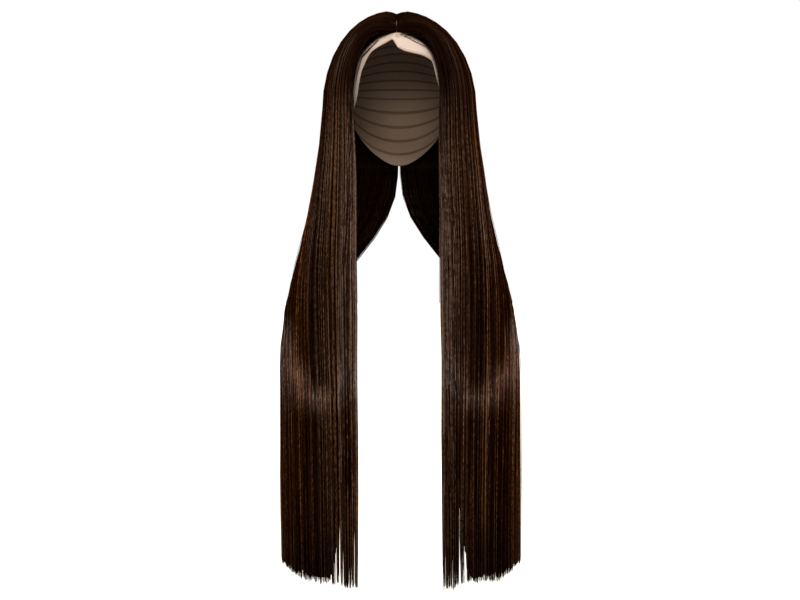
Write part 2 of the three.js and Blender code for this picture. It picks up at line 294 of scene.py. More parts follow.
def new_piece(name, node, shape, material):
    """One object of the part from a shape in millimetres, riding on the part's body and,
    if a node is given, standing for that CAD node."""
    quads = shape["quads"]
    triangles = shape["triangles"]
    corners = np.concatenate([quads.ravel(), triangles.ravel()]).astype(np.int32)
    sizes = np.concatenate([np.full(len(quads), 4), np.full(len(triangles), 3)])
    starts = np.concatenate([[0], np.cumsum(sizes)[:-1]])
    mesh = bpy.data.meshes.new(name)
    mesh.vertices.add(len(shape["points"]))
    mesh.vertices.foreach_set("co", (shape["points"] * MM).astype(np.float32).ravel())
    mesh.loops.add(len(corners))
    mesh.loops.foreach_set("vertex_index", corners)
    mesh.polygons.add(len(sizes))
    mesh.polygons.foreach_set("loop_start", starts.astype(np.int32))
    mesh.polygons.foreach_set("use_smooth", np.ones(len(sizes), dtype=bool))
    layer = mesh.uv_layers.new(name="strand")
    layer.uv.foreach_set("vector", shape["places"][corners].astype(np.float32).ravel())
    for value_name, value in shape["values"].items():
        carried = mesh.attributes.new(value_name, "FLOAT", "POINT")
        carried.data.foreach_set("value", value.astype(np.float32).ravel())
    mesh.update(calc_edges=True)
    mesh.validate()
    mesh.materials.append(material)
    piece = bpy.data.objects.new(name, mesh)
    bpy.context.scene.collection.objects.link(piece)
    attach(piece, "root")
    if node:
        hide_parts(node)
    print(name, "has", 2 * len(quads) + len(triangles), "triangles")
    return piece


# %% [markdown]
# ## Shader nodes in few lines
# A material is a small net of nodes, and most of its nodes are of four kinds.
# A helper for each kind adds the node, feeds its inputs and gives back its output,
# so that a material reads like a sum and not like wiring.

# %% Helpers for materials


def feed(node, inputs):
    """Links each named input of a node to a source, or sets it where the source is a plain value."""
    for name, source in inputs.items():
        if isinstance(source, bpy.types.NodeSocket):
            node.id_data.links.new(source, node.inputs[name])
        else:
            node.inputs[name].default_value = source


def add(tree, kind, inputs=None, **settings):
    """A node of one kind in a tree, with its settings and its inputs."""
    node = tree.nodes.new("ShaderNode" + kind)
    for name, value in settings.items():
        setattr(node, name, value)
    feed(node, inputs or {})
    return node


def new_material(name):
    """A material with a Principled BSDF and its output alone: the material, its tree and that shader."""
    material = bpy.data.materials.new(name)
    material.use_nodes = True
    tree = material.node_tree
    tree.nodes.clear()
    shader = add(tree, "BsdfPrincipled")
    add(tree, "OutputMaterial", {"Surface": shader.outputs["BSDF"]})
    return material, tree, shader


def attribute(tree, name):
    """A named value that the mesh carries on its points."""
    return add(tree, "Attribute", attribute_name=name).outputs["Fac"]


def strand_map(tree):
    """The map that the mesh carries on its corners."""
    return add(tree, "UVMap", uv_map="strand").outputs["UV"]


def maths(tree, operation, *sources):
    """One operation on one to three values."""
    return add(tree, "Math", dict(enumerate(sources)), operation=operation).outputs["Value"]


def remap(tree, value, start, end, curve="LINEAR"):
    """A value carried from start[0]..end[0] to start[1]..end[1], and held beyond both ends."""
    ends = {"From Min": start[0], "From Max": end[0], "To Min": start[1], "To Max": end[1]}
    return add(tree, "MapRange", {"Value": value, **ends}, interpolation_type=curve).outputs["Result"]


def mix(tree, factor, first, second, blend="MIX"):
    """Two colours, mixed or multiplied by a factor."""
    inputs = {"Factor": factor, "A": first, "B": second}
    return add(tree, "Mix", inputs, data_type="RGBA", blend_type=blend).outputs["Result"]


# %% [markdown]
# ## The colour of the hair
# Each place on a hair has a tone between 0 and 1, kept in the map as its across value; its up value is the
# place from root to tip.
# A ramp turns the tone into near-black, dark brown or the light brown of hair that catches the light.
# Three more values lie on the points: wisp tells the wisps apart, warmth tints the outer hairs warm,
# partly by their own colour and partly as a painted glow of light through them, and sheen says how much light
# a place catches.
#
# Real hair is never even along its length, and glints where it bends a little.
# Noise that is different for every wisp paints these small glints into the tone, weaker over the head than in
# the fall.
# The clear coat grows with tone and sheen, so that the light hairs shine and the dark ones between stay deep.

# %% The hair's material
TONES = table(
    "tone red green blue",
    [
        (0.00, 0.0010, 0.0003, 0.0001),
        (0.40, 0.0120, 0.0043, 0.0017),
        (0.70, 0.0410, 0.0170, 0.0070),
        (1.00, 0.1900, 0.1000, 0.0560),
    ],
)
WHITE = (1, 1, 1, 1)
WARM_TINT = (1.25, 0.86, 0.42, 1)
GLINTS = 250
GLINT_TONE = 0.16

hair, tree, shader = new_material("hair")
split = add(tree, "SeparateXYZ", {"Vector": strand_map(tree)})
down = split.outputs["Y"]
stretched = {"X": attribute(tree, "wisp"), "Y": maths(tree, "MULTIPLY", down, GLINTS)}
noise_at = add(tree, "CombineXYZ", stretched).outputs["Vector"]
noise = add(tree, "TexNoise", {"Vector": noise_at, "Scale": 1, "Detail": 2}, noise_dimensions="2D")
# Painted glints: the noise lightens and darkens the tone along each wisp.
glint = remap(tree, noise.outputs["Fac"], (0.3, -GLINT_TONE), (0.7, GLINT_TONE))
falling = remap(tree, down, (0.3, 0.35), (0.55, 1.0))
tone = maths(tree, "MULTIPLY_ADD", glint, falling, split.outputs["X"])

ramp = add(tree, "ValToRGB", {"Fac": tone})
steps = ramp.color_ramp.elements
while len(steps) < len(TONES["tone"]):
    steps.new(0.5)
for step, (place, red, green, blue) in zip(steps, zip(*TONES.values())):
    step.position = place
    step.color = (red, green, blue, 1)
# The warm tint is partly the hair's own colour and partly a painted glow of light through the outer hair.
warm = mix(tree, attribute(tree, "warmth"), WHITE, WARM_TINT)
shine = remap(tree, tone, (0.3, 0.0), (0.9, 1.0))
look = {
    "Base Color": mix(tree, 1, ramp.outputs["Color"], warm, "MULTIPLY"),
    "Coat Weight": maths(tree, "MULTIPLY", shine, attribute(tree, "sheen")),
    "Coat Roughness": 0.27,
    "Roughness": 0.4,
    "Specular IOR Level": 0.0,
}
feed(shader, look)
print("the hair's ramp has", len(steps), "tones")

# %% [markdown]
# ## Where a hair starts, and how deep it lies
# The hair falls in four runs, as the CAD part has them: front and back, on both sides.
# A run is a dark inner wall that keeps the form and stops the light, and about 1,250 hairs on it.
# A real wig has many times more, so each of these is as thick as a few hairs that cling together.
#
# A hair starts on the base and rises to its own depth below the outer face.
# At the face, some hairs start along the hairline and not at the part, as they are knotted into the lace.

# %% The runs, the hairline and the depth
OVER_HEAD = [0, 0.03, 0.08, 0.15, 0.23, 0.32, 0.42, 0.53, 0.65, 0.77, 0.89, 1]
DOWN = [1.08, 1.14, 1.19, 1.24, 1.29, 1.34, 1.39, 1.45, 1.53, 1.58, 1.62, 1.67, 1.82, 2]
# inner_shade is painted shade: how much darker the hairs that lie deep in a run are.
FRONT = {"low": 0.0, "high": 0.4985, "hairs": 1000, "hairline": 245, "inner_shade": 0.12}
BACK = {"low": 0.5015, "high": 1.0, "hairs": 1245, "hairline": 0, "inner_shade": 0.27}
RUNS = [
    {"node": "front_hair_right", "side": 1, **FRONT},
    {"node": "front_hair_left", "side": -1, **FRONT},
    {"node": "back_hair_right", "side": 1, **BACK},
    {"node": "back_hair_left", "side": -1, **BACK},
]
DEPTH = {"head": 7, "fall": 8, "tip": 4}
ROOT_SUNK = 1.8
RISE_LENGTH = 0.06
# Hairs of the hairline: their highest share, how far they fan out, and how unevenly they stand, in degrees.
AT_HAIRLINE = {"share": 0.03, "fan": 0.07, "uneven": 0.9, "behind": 1.5}
# The hairline, in degrees across and over the head, from the part to the temple.
HAIRLINE = {
    1: table(
        "way across over",
        [(0, 0, 46.4), (0.2, 10.6, 45.1), (0.33, 17.7, 43.6), (0.52, 27.2, 40.6), (0.66, 34, 35.9),
         (0.78, 38.9, 27.9), (0.88, 42.2, 16.8), (0.95, 44, 5.3), (1, 44.7, -5.4)],
    ),
    -1: table(
        "way across over",
        [(0, 5.1, 46.7), (0.1, 9.1, 46.7), (0.3, 18.1, 46.5), (0.5, 28.9, 43), (0.66, 38.4, 40.6),
         (0.77, 45, 38), (0.86, 48.2, 26.3), (0.94, 51, 13.5), (1, 52.3, 1.4)],
    ),
}


def base_point(across, over, lift):
    """A point `lift` outside the head's ellipsoid, from its two angles in degrees:
    across from the middle towards an ear, over from the face over the crown to the nape."""
    across = np.radians(across)
    over = np.radians(over)
    tall = np.where(np.sin(over) > 0, HEAD["crown_rise"], HEAD["nape_fall"]) + lift
    x = (HEAD["half_width"] + lift) * np.sin(across)
    y = -(HEAD["half_length"] + lift) * np.cos(across) * np.cos(over)
    z = tall * np.cos(across) * np.sin(over) - HEAD["crown_rise"]
    return np.stack([x, y, z], axis=-1)


def hairline_point(way, side, ragged, lift):
    """The hairline at `way` from part to temple, moved across and over the head by `ragged` degrees."""
    line = HAIRLINE[side]
    across = smooth_at(line["way"], line["across"], way)
    over = smooth_at(line["way"], line["over"], way)
    return base_point(across + ragged[0], over + ragged[1], lift)


def thickness(along):
    """The hair's depth, in mm: one depth on the head, one below it, and less at the tips."""
    below = lerp(DEPTH["fall"], DEPTH["tip"], ease(1.7, 2, along))
    return lerp(DEPTH["head"], below, ease(0.9, 1.1, along))


def hem(share):
    """The drop of the tips, less towards the outer side."""
    return smooth_at(HEM["share"], HEM["drop"], share)


def lay(share, along, depth, start, tip_drop, side):
    """Points `depth` under the outer face, but never in the base, and the way out of that face.
    A hair starts sunk under the face, and rises to its own depth over the first bit of its way."""
    face = flow(share, along, tip_drop, side)
    normal = flow_normal(share, along, tip_drop, side)
    room = np.linalg.norm(face - on_base(face, BASE_WALL + 0.4), axis=-1)
    room = np.where(along < 1, room, 1e3)
    risen = ease(start, start + RISE_LENGTH, along)
    under = np.minimum(lerp(depth + ROOT_SUNK, depth, risen), room)
    return face - normal * under[..., None], normal


def start_hairs(run, chance):
    """A run's hairs, one row each, spread evenly over its shares but for chance.
    A hair of the hairline starts at its knot, where the flow is as high as the knot:
    its first along is the arccosine of knot height over part height, as a part of a quarter turn."""
    count = run["hairs"] + run["hairline"]
    at_hairline = np.arange(count) >= run["hairs"]
    share = lerp(run["low"], run["high"], (np.arange(count) + chance.random(count)) / run["hairs"])
    share = np.where(at_hairline, AT_HAIRLINE["share"] * chance.random(count), share)
    ragged = chance.normal(0, AT_HAIRLINE["uneven"], (2, count))
    ragged[1] += chance.exponential(AT_HAIRLINE["behind"], count)
    knot = hairline_point(chance.random(count), run["side"], ragged, ON_BASE)
    height = (knot[:, 2] + RING_DROP) / (root(share, run["side"])[:, 2] + RING_DROP)
    start = np.where(at_hairline, np.arccos(np.clip(height, 0, 1)) * 2 / np.pi, 0)[:, None]
    along = lerp(start, 2, np.array(OVER_HEAD + DOWN) / 2)
    fan = np.where(at_hairline, chance.uniform(0, AT_HAIRLINE["fan"], count), 0)
    hairs = {"share": share, "fan": fan, "at_hairline": at_hairline}
    return {**hairs, "knot": knot, "start": start, "along": along}


def sink(hairs, wisp, chance):
    """How deep each hair lies, as a part of the run's thickness, and in mm at each of its points.
    Two thirds lie outside, a quarter inside and the rest between; a few stand off."""
    count = len(wisp)
    share = hairs["share"][:, None]
    along = hairs["along"]
    layer = chance.random(count)
    on_outer = 0.22 * chance.random(count) + 0.15 * chance.random(WISPS)[wisp]
    between = chance.uniform(0.3, 0.8, count)
    on_inner = chance.uniform(0.8, 1.02, count)
    part_depth = np.where(layer < 0.64, on_outer, np.where(layer < 0.75, between, on_inner))
    part_depth = np.where(hairs["at_hairline"], on_outer, part_depth)
    loose = (chance.random(count) < 0.02)[:, None] * chance.uniform(0.3, 2, (count, 1))
    thin_edge = lerp(0.25 + 0.75 * ease(0, 0.08, share), 1, ease(1, 1.3, along))
    depth = part_depth[:, None] * thickness(along) * thin_edge - loose * ease(0.4, 1.6, along)
    return part_depth, depth


print("the hem drops, at the face and at the back, mm:", hem(np.array([0.0, 1.0])).tolist())

# %% [markdown]
# ## Locks and wisps
# Long hair gathers in narrow wisps, and at the hem in wider locks with gaps between them.
# Random bends alone would look like fur.
# So the run is cut into groups of uneven widths, and every hair is drawn to the middle of its groups:
# to its wisp on its way over the head, and to its lock near the tip, most of all at the face.

# %% Gather the hairs
LOCKS = 26
WISPS = 84
LOCK_CLOSES = {"at_face": 0.55, "elsewhere": 0.08, "free_hairs": 0.22}
WANDER = 0.0025
LEAN_BACK = 0.018


def groups(share, run, count, chance):
    """The middles of `count` groups of uneven widths side by side over a run,
    and the group nearest to each share."""
    widths = chance.lognormal(0, 0.5, count)
    middles = lerp(run["low"], run["high"], (np.cumsum(widths) - widths / 2) / widths.sum())
    return middles, np.abs(share[:, None] - middles).argmin(axis=1)


def gather(hairs, run, chance):
    """The share of each point of each hair, and the hair's lock and wisp.
    Hairs of the hairline fan out; all go half-way to their wisp, and at the tip partly to their lock.
    They wander by a sine of along, and those at the face lean back over the head."""
    along = hairs["along"]
    at_hairline = hairs["at_hairline"][:, None]
    share = hairs["share"][:, None]
    fan = hairs["fan"][:, None]
    count = len(share)
    spread = hairs["share"] + hairs["fan"]
    lock_middles, lock = groups(spread, run, LOCKS, chance)
    wisp_middles, wisp = groups(spread, run, WISPS, chance)
    closing = lerp(LOCK_CLOSES["elsewhere"], LOCK_CLOSES["at_face"], 1 - ease(0.08, 0.2, spread))
    closing = closing * chance.uniform(0.5, 1.4, LOCKS)[lock]
    closing = (closing * (chance.random(count) > LOCK_CLOSES["free_hairs"]))[:, None]
    from_seam = ease(0, 0.015, np.abs(share - 0.5))
    at_face = 1 - ease(0.1, 0.22, share)
    drawn = 0.5 * from_seam * ease(0.2, 0.8, along) * (1 - 0.7 * at_face * ease(1.45, 1.75, along))
    drawn = np.where(at_hairline, drawn * ease(0.9, 1.5, along), drawn)
    across = lerp(share + fan * ease(0.9, 1.5, along), wisp_middles[wisp][:, None], drawn)
    across = lerp(across, lock_middles[lock][:, None], closing * from_seam * ease(1.78, 1.98, along))
    wander = chance.normal(0, WANDER, (count, 1)) * np.sin(along * chance.uniform(1.5, 5, (count, 1)))
    lean = np.where(at_hairline, 0, LEAN_BACK * (1 - ease(0, 0.05, share)))
    across = across + wander * ease(0.1, 0.6, along) + lean * (1 - ease(0.7, 1, along))
    return across, lock, wisp


# %% [markdown]
# ## Light and shade on the hair
# Straight hair shines in bands: across the chest where the curtain turns down, along the face edge,
# and at the outline where light comes from behind.
# Lamps alone give only part of this, because these tubes are few and thick.
# So the bands are also laid into the tones, as a painter would, from places measured off the picture.

# %% Tones of the hairs
# How the tone changes from root to tip: lighter on the fall above the chest as painted light, and darker
# below the chest as painted shade.
FALL_TONE_AND_SHADE = table(
    "along change",
    [(0, -0.1), (0.5, -0.06), (0.95, -0.05), (1.15, 0.05), (1.45, 0.05),
     (1.58, 0.05), (1.64, -0.08), (1.74, -0.15), (1.86, -0.13), (2, 0.03)],
)
# The band of light across the chest: where it lies, how soft it is above and below, and how much it lightens.
SHEEN = table(
    "share along above below lighter",
    [(0, 1.58, 0.03, 0.03, 0), (0.06, 1.585, 0.03, 0.025, 0.02), (0.12, 1.597, 0.014, 0.018, 0.32),
     (0.217, 1.603, 0.01, 0.02, 0.48), (0.33, 1.601, 0.03, 0.032, 0.42),
     (0.45, 1.555, 0.048, 0.08, 0.22), (0.55, 1.55, 0.05, 0.1, 0.05), (0.65, 1.55, 0.05, 0.1, 0)],
)
MIDDLE_TONE = 0.47
# EDGE_LIGHT is painted light on the hairs along the face edge.
EDGE_LIGHT = 0.65
WISP_CONTRAST = 0.2
GRAIN = 0.04


def catch_light(share, along):
    """How much light a place on the hair catches, and how much darker it is, as painted light and shade.
    It catches light in a bell along the face edge, in the band of SHEEN, and a little where it isn't dull.
    Painted shade darkens the curtain's hollow above the band and the shoulder, and the arch over the temple
    is darker;
    painted highlights lighten the band, a bell along the outline, and the outer side below the shoulder."""
    in_curtain = bell(share, 0.21, 0.08)
    by_face = bell(share, 0, 0.08) * ease(0.7, 1.15, along) * (1 - 0.8 * ease(1.55, 1.63, along))
    sheen = read(SHEEN, "share", share)
    softness = np.where(along > sheen["along"], sheen["below"], sheen["above"])
    band = bell(along, sheen["along"], softness)
    dull_from = lerp(0.1, 0.25, ease(0.9, 1.25, along))
    dull = ease(dull_from, dull_from + 0.11, share) * (1 - ease(0.95, 1.3, along) * ease(0.55, 0.65, share))
    caught = 0.3 * (1 - dull) + 0.9 * by_face + (1.8 + in_curtain) * band * (1 - ease(0.6, 0.75, share))
    # Painted shade: the hollow above the band and the shoulder. The arch near the hairline is darker too.
    hollow = in_curtain * ease(1.1, 1.35, along) * (1 - ease(1.58, 1.61, along))
    shoulder = ease(0.3, 0.42, share) * bell(along, 1.41, 0.08)
    arch = (1 - ease(0.04, 0.16, share)) * (1 - ease(0.75, 1.1, along))
    # Painted rim light along the outline, and on the outer side below the shoulder.
    outline = lerp(0.41, 0.7, ease(1.1, 1.6, along))
    rim = bell(share, outline, 0.08) * ease(0, 0.1, along)
    rim = rim + 0.7 * ease(1.48, 1.58, along) * ease(0.3, 0.62, share)
    lighter = lerp(0.36, 0.22, ease(1.15, 1.3, along)) * rim + sheen["lighter"] * band
    return caught, 0.2 * hollow + 0.16 * shoulder + 0.2 * arch - lighter


def shade_hairs(hairs, wisp, part_depth, run, chance):
    """The tone of each point, and its named values.
    The tone is a middle tone, with painted shade on deep hairs and towards the outer side,
    painted light along the face edge, varied by wisp and hair, with the change from root to tip
    and the place's painted light and shade. The outer hairs are warm, partly by their own colour
    and partly by a painted glow of light through them."""
    along = hairs["along"]
    share = hairs["share"]
    count = len(share)
    # Painted light on the hairs along the face edge.
    edge = EDGE_LIGHT * (1 - ease(0, 0.04, share + hairs["fan"])) * chance.uniform(0.2, 1, count)
    every_other = np.where(np.arange(WISPS) % 2, 1, -1) * chance.uniform(0.2, 1, WISPS)
    varied = WISP_CONTRAST * every_other[wisp] + chance.normal(0, WISP_CONTRAST, count)
    grain = chance.normal(0, GRAIN, (WISPS, along.shape[1]))[wisp] + chance.normal(0, GRAIN, along.shape)
    # Painted shade: darker towards the outer side, and on the hairs that lie deep in the run.
    tone = MIDDLE_TONE - 0.14 * ease(0.08, 0.3, share) - run["inner_shade"] * (part_depth > 0.5)
    tone = tone[:, None] + edge[:, None] * (ease(0.85, 1.2, along) + 0.2 * ease(1.6, 1.7, along))
    contrast = lerp(0.42, 1, ease(0.3, 1.35, along)) + 0.2 * ease(1.6, 1.68, along)
    tone = tone + (varied[:, None] + grain) * contrast
    seen = along + chance.normal(0, 0.006, WISPS)[wisp][:, None] + chance.normal(0, 0.004, (count, 1))
    caught, shade = catch_light(share[:, None], seen)
    tone = tone + smooth_at(FALL_TONE_AND_SHADE["along"], FALL_TONE_AND_SHADE["change"], seen) - shade
    # A painted glow of light through the outer hairs, with a random warm tint for each wisp.
    painted_glow = 0.75 * ease(0.1, 0.4, share) * (1 - 0.5 * ease(0.55, 0.8, share))
    warmth = np.clip(painted_glow + chance.normal(0, 0.35, WISPS)[wisp], 0, 1)
    apart = wisp * 7.3 + np.arange(count) % 2
    values = {"wisp": apart[:, None], "warmth": warmth[:, None], "sheen": caught}
    return np.clip(tone, 0.02, 0.98), values


# %% [markdown]
# ## The four runs
# A run puts these steps together: start, gather, sink, cut to the hem, lay on the flow, and shade.
# The hem is cut blunt, but locks, wisps and hairs end a little unevenly, and some hairs are short.
# The dark wall inside is what keeps light from shining through a curtain of so few hairs.
# It ends higher towards the open edge at the face, so that the locks there hang free.

# %% Make the four runs
JOIN_LENGTH = 0.14
HAIR_RADIUS = (0.22, 0.42)
SHORT_TIPS = {"part": 0.12, "by": 9}
UNEVEN = {"lock": 1, "wisp": 1.3, "hair": 2}
WALL_COLUMNS = 91
WALL_VALUES = {"wisp": 0.3, "warmth": 0.3, "sheen": 0.3}


def run_hairs(run, chance):
    """A run's hairs as tubes; those of the hairline are bent from their knots into the flow."""
    hairs = start_hairs(run, chance)
    start = hairs["start"]
    along = hairs["along"]
    count = len(along)
    across, lock, wisp = gather(hairs, run, chance)
    part_depth, depth = sink(hairs, wisp, chance)
    short = (chance.random(count) < SHORT_TIPS["part"]) * chance.exponential(SHORT_TIPS["by"], count)
    uneven = chance.normal(0, UNEVEN["lock"], LOCKS)[lock]
    uneven += chance.normal(0, UNEVEN["wisp"], WISPS)[wisp]
    uneven += chance.normal(0, UNEVEN["hair"], count)
    tip_drop = hem(hairs["share"]) + uneven - short
    lines, normal = lay(across, along, depth, start, tip_drop[:, None], run["side"])
    bent = (1 - ease(start, start + JOIN_LENGTH, along)) * hairs["at_hairline"][:, None]
    lines = lines + (hairs["knot"] - lines[:, 0])[:, None] * bent[..., None]
    radius = chance.uniform(*HAIR_RADIUS, count)[:, None]
    radius = radius * (1 - 0.6 * ease(1.85, 2, along)) * lerp(0.5, 1, ease(start, start + 0.1, along))
    tone, values = shade_hairs(hairs, wisp, part_depth, run, chance)
    return tubes(lines, radius, normal, np.stack([tone, along / 2], axis=-1), values)


def run_wall(run, chance):
    """The dark wall inside a run: a ribbed grid under the outer face, and one on the inner face.
    Over the head its inner grid lies on the base."""
    along = np.maximum(OVER_HEAD + DOWN, 0.02)[None, :]
    if run["hairline"]:
        low = run["low"] + lerp(0.08, 0.012, ease(0.9, 1.2, along))
        high = run["high"] + 0.0005
    else:
        low = run["low"] - 0.0005
        high = run["high"] - 0.002
    share = lerp(low, high, np.linspace(0, 1, WALL_COLUMNS)[:, None])
    open_edge = 1 - ease(0.02, 0.18, share)
    tip_drop = hem(share) - 4 - 3 * chance.exponential(0.5, (WALL_COLUMNS, 1)) - 190 * open_edge
    ridge = 0.12 * np.cos(np.arange(WALL_COLUMNS)[:, None] * 2 * np.pi / 3)
    thin = ease(1.7, 2, along)
    shallow = thickness(along) * (lerp(0.42, 0.5, thin) + ridge * (1 - thin))
    outer, normal = lay(share, along, shallow, 0, tip_drop, run["side"])
    deep = np.maximum(thickness(along) * lerp(0.82, 0.58, thin), shallow + 0.4)
    inner, normal = lay(share, along, deep, 0, tip_drop, run["side"])
    grid = inner.shape[:2]
    inner = lerp(on_base(inner, ON_BASE), inner, np.broadcast_to(ease(1, 1.14, along), grid)[..., None])
    # The wall's tone is kept low: painted shade for the hair mass deep inside a run.
    tone = np.broadcast_to(chance.uniform(0.1, 0.35, (WALL_COLUMNS, 1)), grid)
    places = np.stack([tone, np.broadcast_to(along / 2, grid)], axis=-1)
    return wall(outer, inner, places, WALL_VALUES)


for order, run in enumerate(RUNS):
    chance = np.random.default_rng(20 + order)
    strands = run_hairs(run, chance)
    shape = on_side(join([run_wall(run, chance), strands]), run["side"])
    new_piece(run["node"] + "_strands", run["node"], shape, hair)

# %% [markdown]
# ## The base: lace in front, net behind
# The base is a thin wall over the head, and both its panels run from ear to ear.
# So its grid runs the same way, in the two angles of the hairline: across and over.
# The edge of the base is measured as bearings round the head and drops below the crown,
# and is turned into the same two angles.
# The loose edge of the lace has a turned-up notch near the middle, and small soft folds.

# %% The edge and the panels of the base
RIM = table(
    "bearing drop",
    [
        (-180, 185), (-150, 170), (-125, 140), (-105, 108), (-85, 108), (-72, 130), (-58, 128), (-47, 108),
        (-41, 74), (-31, 51), (-9, 38), (-1, 49), (18, 55), (36, 62), (41, 88), (47, 108),
        (58, 128), (72, 130), (85, 108), (105, 108), (125, 140), (150, 170), (180, 185),
    ],
)
FOLDS = table("across lift width", [(-4, 4.5, 6), (22, 2, 8), (-27, 1.5, 7)])
FOLD_REACH = 0.14
EAR_BEARING = 95
SEAM_OVER = 101
SEAM_GAP = 0.15
CLOTH_FACES = {"outer": 1.0, "inner": 0.4}
# How dark the lace is under the hair: the dense knots, and painted shade of the hair over it.
ROOTS_AND_SHADE_DARK = 0.93


def rim_angles(front):
    """The rows of the edge as (across, over) in degrees, in order from ear to ear.
    With tilt the angle down from the crown: across = asin(sin tilt sin bearing),
    over = atan2(cos tilt, sin tilt cos bearing)."""
    bearing = np.radians(RIM["bearing"])
    height = HEAD["crown_rise"] - RIM["drop"]
    tilt = np.arccos(height / np.where(height > 0, HEAD["crown_rise"], HEAD["nape_fall"]))
    across = np.degrees(np.arcsin(np.sin(tilt) * np.sin(bearing)))
    over = np.degrees(np.arctan2(np.cos(tilt), np.sin(tilt) * np.cos(bearing)))
    kept = (np.abs(RIM["bearing"]) < EAR_BEARING) == front
    across = across[kept]
    over = over[kept] if front else over[kept] % 360
    across, first = np.unique(across.round(6), return_index=True)
    return across, over[first]


def fold_lift(across, over):
    """How far the lace stands off the head: a bell across for each fold,
    fading from the loose edge inwards."""
    down = (over - SEAM_OVER) / (smooth_at(*rim_angles(True), across) - SEAM_OVER)
    folds = FOLDS["lift"] * bell(across[..., None], FOLDS["across"], FOLDS["width"])
    return folds.sum(axis=-1) * (1 - ease(0, FOLD_REACH, 1 - down))


def before_hairline(across, over):
    """How far a place on the lace lies before the hairline, in mm:
    the hairline's over, read at the place's across, less its own."""
    left = HAIRLINE[-1]
    right = HAIRLINE[1]
    line_across = np.concatenate([-left["across"][::-1], right["across"]])
    line_over = np.concatenate([left["over"][::-1], right["over"]])
    return np.radians(np.interp(across, line_across, line_over) - over) * HEAD["half_length"]


def panel(front, columns, rows):
    """The grids of one panel, outer and inner, its map in metres of cloth from the middle and the face,
    and its values: mm from the loose edge, how thickly it is knotted, and how dark the knotted hair and the
    painted shade under the hair make it."""
    edge_across, edge_over = rim_angles(front)
    across = np.linspace(edge_across[0], edge_across[-1], columns)[:, None]
    edge = smooth_at(edge_across, edge_over, across)
    way = -1 if front else 1
    down = np.linspace(0, 1, rows)[None, ::way]
    over = lerp(SEAM_OVER + way * SEAM_GAP, edge, down)
    across = np.broadcast_to(across, over.shape)
    lift = fold_lift(across, over) if front else np.zeros_like(over)
    outer = base_point(across, over, CLOTH_FACES["outer"] + lift)
    inner = base_point(across, over, CLOTH_FACES["inner"] + lift)
    cloth_across = np.radians(across) * HEAD["half_width"]
    cloth_over = np.radians(over) * HEAD["half_length"]
    before = before_hairline(across, over)
    values = {
        "edge": np.radians(np.abs(over - edge)) * HEAD["half_length"],
        "rooted": 1 - ease(3, 13, before),
        "roots": ROOTS_AND_SHADE_DARK * ease(2, 8, -before),
    }
    return outer, inner, np.stack([cloth_across, cloth_over], axis=-1) * MM, values


# %% [markdown]
# ## Lace and net
# Swiss lace is a net with holes smaller than a millimetre, tinted like skin, so that it nearly disappears.
# Its threads are the edges of a cell pattern on the map of the cloth.
# The threads are opaque and raised, and the holes let a little through.
# Real threads would take millions of faces, so a group of nodes draws them, for the lace and for the net.
#
# Along its loose edge the lace is a shade darker.
# Near the hairline it is dotted with the brown knots of the hairs, and under the hair the dense knots and
# painted shade make it dark.
# The net behind is coarser and browner, and has a row of stitching wherever a weft is sewn on.

# %% Materials of the base
LACE = {"cells": 1300, "hole": (0.56, 0.45, 0.37, 1), "thread": (0.64, 0.52, 0.43, 1), "height": 0.0002}
CAP_NET = {"cells": 700, "hole": (0.34, 0.23, 0.155, 1), "thread": (0.42, 0.29, 0.20, 1), "height": 0.0003}
HOLE_ALPHA = 0.9
LACE_EDGE_TINT = (0.84, 0.72, 0.62, 1)
KNOTS = 330
KNOT_COLOUR = (0.16, 0.062, 0.024, 1)
WEFT_SPACING = 0.013
WEFT_WIDTH = 0.0018
WEFT_TINT = (0.5, 0.45, 0.42, 1)


def net_group(name):
    """A node group that gives a net's threads, 1 on a thread and 0 in a hole, from its cells per metre."""
    group = bpy.data.node_groups.new(name, "ShaderNodeTree")
    group.interface.new_socket("Cells per metre", in_out="INPUT", socket_type="NodeSocketFloat")
    group.interface.new_socket("Threads", in_out="OUTPUT", socket_type="NodeSocketFloat")
    enters = group.nodes.new("NodeGroupInput")
    leaves = group.nodes.new("NodeGroupOutput")
    inputs = {"Vector": strand_map(group), "Scale": enters.outputs["Cells per metre"], "Randomness": 0.35}
    cells = add(group, "TexVoronoi", inputs, feature="DISTANCE_TO_EDGE")
    feed(leaves, {"Threads": remap(group, cells.outputs["Distance"], (0.06, 1), (0.22, 0))})
    return group


def net_material(name, kind, group):
    """A net with alpha in its holes and threads raised by a bump: the material, its tree, its shader,
    and the colour of holes and threads, still to be tinted."""
    material, tree, shader = new_material(name)
    net = add(tree, "Group", {"Cells per metre": kind["cells"]}, node_tree=group)
    threads = net.outputs["Threads"]
    raised = add(tree, "Bump", {"Height": threads, "Distance": kind["height"], "Strength": 0.5})
    alpha = remap(tree, threads, (0, HOLE_ALPHA), (1, 1))
    feed(shader, {"Alpha": alpha, "Normal": raised.outputs["Normal"]})
    feed(shader, {"Roughness": 0.8, "Specular IOR Level": 0.1})
    return material, tree, shader, mix(tree, threads, kind["hole"], kind["thread"])


net_threads = net_group("net threads")

lace, tree, shader, colour = net_material("lace", LACE, net_threads)
edge_band = remap(tree, attribute(tree, "edge"), (2.5, 0.8), (5, 0), "SMOOTHSTEP")
tinted = mix(tree, edge_band, colour, LACE_EDGE_TINT, "MULTIPLY")
knots = add(tree, "TexVoronoi", {"Vector": strand_map(tree), "Scale": KNOTS})
knot = remap(tree, knots.outputs["Distance"], (0.22, 0.95), (0.42, 0.25))
tied = maths(tree, "MULTIPLY", knot, attribute(tree, "rooted"))
covered = maths(tree, "MAXIMUM", tied, attribute(tree, "roots"))
feed(shader, {"Base Color": mix(tree, covered, tinted, KNOT_COLOUR)})

